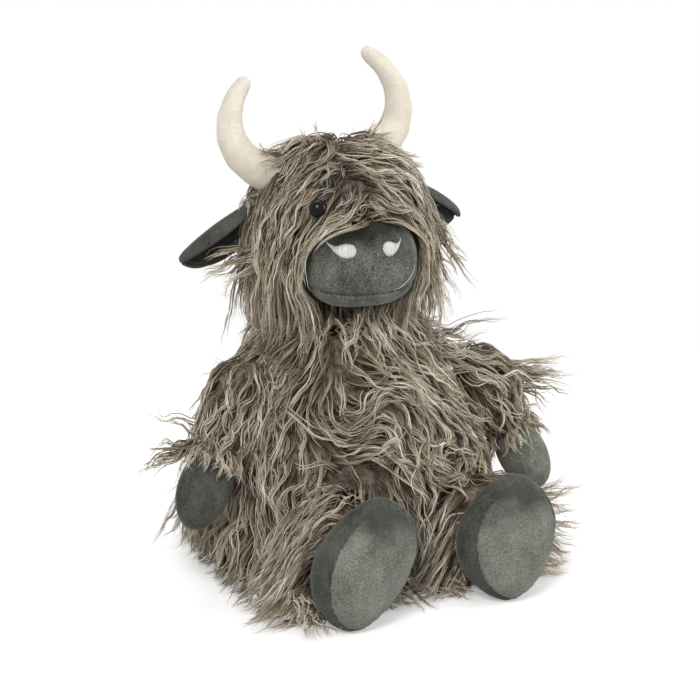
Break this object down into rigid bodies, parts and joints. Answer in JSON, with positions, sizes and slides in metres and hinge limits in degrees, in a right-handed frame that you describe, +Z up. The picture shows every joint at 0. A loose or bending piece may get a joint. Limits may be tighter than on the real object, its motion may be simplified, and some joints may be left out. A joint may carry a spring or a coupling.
{
  "type": "plush cow",
  "caption": "Seated long-haired plush cow with a turning and nodding head, folding ears, swinging arms and legs, curved stuffed horns and sewn velvet hooves.",
  "frame": {"origin": "middle of the flat seat base, on the floor", "axes": "+Z up, the cow faces -Y, +X is the cow's own left side"},
  "size_m": [0.2907, 0.254, 0.3463],
  "materials": {
    "long_pile": "long shaggy pile",
    "velvet_dark": "short smooth pile",
    "velvet_sole": "short smooth pile",
    "horn_plush": "short brushed plush",
    "thread": "satin stitch",
    "eye_plastic": "gloss",
    "washer_plastic": "matte",
    "filling": "loose polyester fibre",
    "pouch_cloth": "plain woven"
  },
  "bodies": {
    "torso": {"torso_cover": "long_pile", "torso_stuffing": "filling", "pellet_pouch": "pouch_cloth"},
    "neck": {"neck_stuffing": "filling"},
    "head": {"head_cover": "long_pile", "head_stuffing": "filling", "muzzle_upper": "velvet_dark", "muzzle_lower": "velvet_dark", "nostril_left": "thread", "eye_left": "eye_plastic", "eye_washer_left": "washer_plastic", "horn_cover_left": "horn_plush", "horn_stuffing_left": "filling", "nostril_right": "thread", "eye_right": "eye_plastic", "eye_washer_right": "washer_plastic", "horn_cover_right": "horn_plush", "horn_stuffing_right": "filling"},
    "ear_left": {"ear_outer_left": "velvet_dark", "ear_inner_left": "velvet_dark"},
    "arm_left": {"arm_sleeve_left": "long_pile", "hand_hoof_left": "velvet_dark", "arm_stuffing_left": "filling"},
    "leg_left": {"leg_sleeve_left": "long_pile", "hoof_upper_left": "velvet_dark", "hoof_sole_left": "velvet_sole", "leg_stuffing_left": "filling"},
    "ear_right": {"ear_outer_right": "velvet_dark", "ear_inner_right": "velvet_dark"},
    "arm_right": {"arm_sleeve_right": "long_pile", "hand_hoof_right": "velvet_dark", "arm_stuffing_right": "filling"},
    "leg_right": {"leg_sleeve_right": "long_pile", "hoof_upper_right": "velvet_dark", "hoof_sole_right": "velvet_sole", "leg_stuffing_right": "filling"}
  },
  "joints": [
    {"name": "neck_turn", "type": "hinge", "parent": "torso", "child": "neck", "pos_m": [0, 0.006, 0.176], "axis": [0, 0, 1], "range_deg": [-30, 30], "stiffness_Nm_per_rad": 0.3},
    {"name": "head_nod", "type": "hinge", "parent": "neck", "child": "head", "pos_m": [0, 0.006, 0.176], "axis": [1, 0, 0], "range_deg": [-20, 15], "stiffness_Nm_per_rad": 0.6},
    {"name": "ear_left_fold", "type": "hinge", "parent": "head", "child": "ear_left", "pos_m": [0.06614, 0.02936, 0.24225], "axis": [0.0555, 0, 0.9985], "range_deg": [-25, 40], "stiffness_Nm_per_rad": 0.01},
    {"name": "ear_right_fold", "type": "hinge", "parent": "head", "child": "ear_right", "pos_m": [-0.06614, 0.02936, 0.24225], "axis": [-0.0555, 0, 0.9985], "range_deg": [-40, 25], "stiffness_Nm_per_rad": 0.01},
    {"name": "arm_left_swing", "type": "hinge", "parent": "torso", "child": "arm_left", "pos_m": [0.07889, -0.02124, 0.11333], "axis": [0.84, -0.273, 0.469], "range_deg": [-90, 40]},
    {"name": "arm_right_swing", "type": "hinge", "parent": "torso", "child": "arm_right", "pos_m": [-0.07086, -0.01863, 0.12923], "axis": [-0.84, -0.273, 0.469], "range_deg": [-40, 90]},
    {"name": "leg_left_swing", "type": "hinge", "parent": "torso", "child": "leg_left", "pos_m": [0.056, -0.094, 0.037], "axis": [1, 0, 0], "range_deg": [-45, 60]},
    {"name": "leg_right_swing", "type": "hinge", "parent": "torso", "child": "leg_right", "pos_m": [-0.051, -0.091, 0.037], "axis": [1, 0, 0], "range_deg": [-45, 60]}
  ]
}
